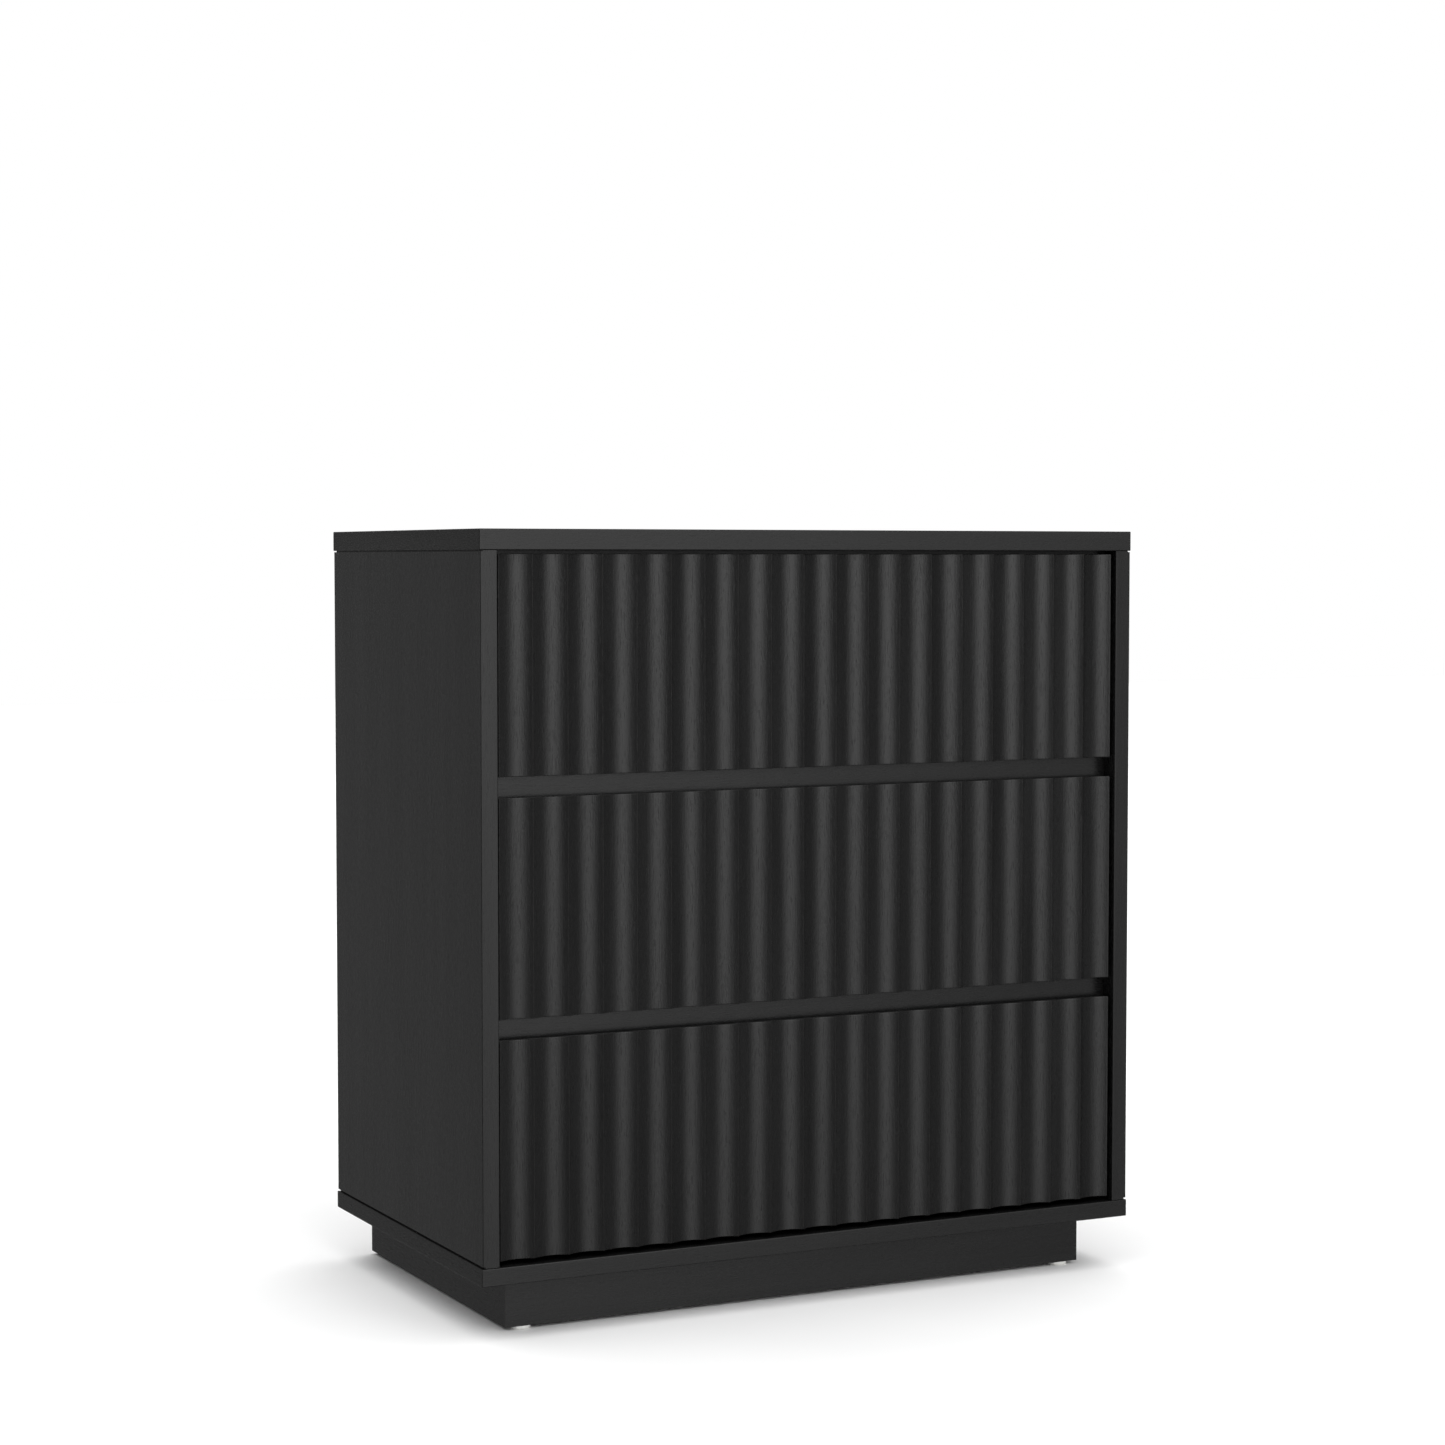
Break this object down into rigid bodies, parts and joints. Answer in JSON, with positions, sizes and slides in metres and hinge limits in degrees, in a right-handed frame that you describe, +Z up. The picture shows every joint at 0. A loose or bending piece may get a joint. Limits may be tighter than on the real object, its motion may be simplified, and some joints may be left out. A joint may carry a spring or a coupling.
{
  "type": "nightstand with drawers",
  "caption": "Low drawer cabinet with vertically fluted, handle-less fronts in black wood grain, finger channels between the drawers and a recessed plinth.",
  "frame": {"origin": "on the floor, under the centre of the cabinet", "axes": "+X to the viewer's right along the drawer fronts, +Y from the fronts to the back, +Z up"},
  "size_m": [0.8, 0.452, 0.8485],
  "materials": {
    "black_veneer": "black-stained open-pore veneer, satin lacquer",
    "back_board": "black matt laminate on thin fibreboard",
    "drawer_box_board": "anthracite melamine with a fine linen texture",
    "drawer_bottom_board": "anthracite melamine, smooth matt",
    "beech_dowel": "raw beech",
    "pine_block": "raw sawn pine",
    "glide_plastic": "white polyethylene, matt",
    "runner_steel": "zinc-plated rolled steel",
    "bearing_steel": "bright steel balls in pressed cages, lightly greased",
    "cam_zinc": "die-cast zinc, nickel flash",
    "screw_steel": "zinc-plated steel"
  },
  "bodies": {
    "cabinet": {"back_panel": "back_board", "base_panel": "black_veneer", "bottom_left_cabinet_member": "runner_steel", "bottom_right_cabinet_member": "runner_steel", "cabinet_runner_screws": "screw_steel", "case_cam_fittings": "cam_zinc", "floor_glides": "glide_plastic", "head_rail": "black_veneer", "left_side_panel": "black_veneer", "lower_rail": "black_veneer", "middle_left_cabinet_member": "runner_steel", "middle_right_cabinet_member": "runner_steel", "plinth_back": "black_veneer", "plinth_corner_blocks": "pine_block", "plinth_front": "black_veneer", "plinth_left": "black_veneer", "plinth_right": "black_veneer", "plinth_screws": "screw_steel", "right_side_panel": "black_veneer", "top_left_cabinet_member": "runner_steel", "top_panel": "black_veneer", "top_right_cabinet_member": "runner_steel", "upper_rail": "black_veneer", "wood_dowels": "beech_dowel"},
    "bottom_drawer": {"bottom_drawer_back": "drawer_box_board", "bottom_drawer_bottom": "drawer_bottom_board", "bottom_drawer_cam_fittings": "cam_zinc", "bottom_drawer_front": "black_veneer", "bottom_drawer_left_side": "drawer_box_board", "bottom_drawer_right_side": "drawer_box_board", "bottom_drawer_runner_screws": "screw_steel", "bottom_left_drawer_member": "runner_steel", "bottom_right_drawer_member": "runner_steel"},
    "middle_drawer": {"middle_drawer_back": "drawer_box_board", "middle_drawer_bottom": "drawer_bottom_board", "middle_drawer_cam_fittings": "cam_zinc", "middle_drawer_front": "black_veneer", "middle_drawer_left_side": "drawer_box_board", "middle_drawer_right_side": "drawer_box_board", "middle_drawer_runner_screws": "screw_steel", "middle_left_drawer_member": "runner_steel", "middle_right_drawer_member": "runner_steel"},
    "top_drawer": {"top_drawer_back": "drawer_box_board", "top_drawer_bottom": "drawer_bottom_board", "top_drawer_cam_fittings": "cam_zinc", "top_drawer_front": "black_veneer", "top_drawer_left_side": "drawer_box_board", "top_drawer_right_side": "drawer_box_board", "top_drawer_runner_screws": "screw_steel", "top_left_drawer_member": "runner_steel", "top_right_drawer_member": "runner_steel"},
    "bottom_runners": {"bottom_left_middle_member": "runner_steel", "bottom_right_middle_member": "runner_steel", "bottom_runner_ball_cages": "bearing_steel"},
    "middle_runners": {"middle_left_middle_member": "runner_steel", "middle_right_middle_member": "runner_steel", "middle_runner_ball_cages": "bearing_steel"},
    "top_runners": {"top_left_middle_member": "runner_steel", "top_right_middle_member": "runner_steel", "top_runner_ball_cages": "bearing_steel"}
  },
  "joints": [
    {"name": "bottom_drawer_slide", "type": "slide", "parent": "cabinet", "child": "bottom_drawer", "axis": [0, -1, 0], "range_m": [0, 0.38]},
    {"name": "middle_drawer_slide", "type": "slide", "parent": "cabinet", "child": "middle_drawer", "axis": [0, -1, 0], "range_m": [0, 0.38]},
    {"name": "top_drawer_slide", "type": "slide", "parent": "cabinet", "child": "top_drawer", "axis": [0, -1, 0], "range_m": [0, 0.38]},
    {"name": "bottom_runner_slide", "type": "slide", "parent": "cabinet", "child": "bottom_runners", "axis": [0, -1, 0], "range_m": [0, 0.19]},
    {"name": "middle_runner_slide", "type": "slide", "parent": "cabinet", "child": "middle_runners", "axis": [0, -1, 0], "range_m": [0, 0.19]},
    {"name": "top_runner_slide", "type": "slide", "parent": "cabinet", "child": "top_runners", "axis": [0, -1, 0], "range_m": [0, 0.19]}
  ],
  "couplings": [
    {"joint": "bottom_runner_slide", "follows": "bottom_drawer_slide", "ratio": 0.5},
    {"joint": "middle_runner_slide", "follows": "middle_drawer_slide", "ratio": 0.5},
    {"joint": "top_runner_slide", "follows": "top_drawer_slide", "ratio": 0.5}
  ]
}
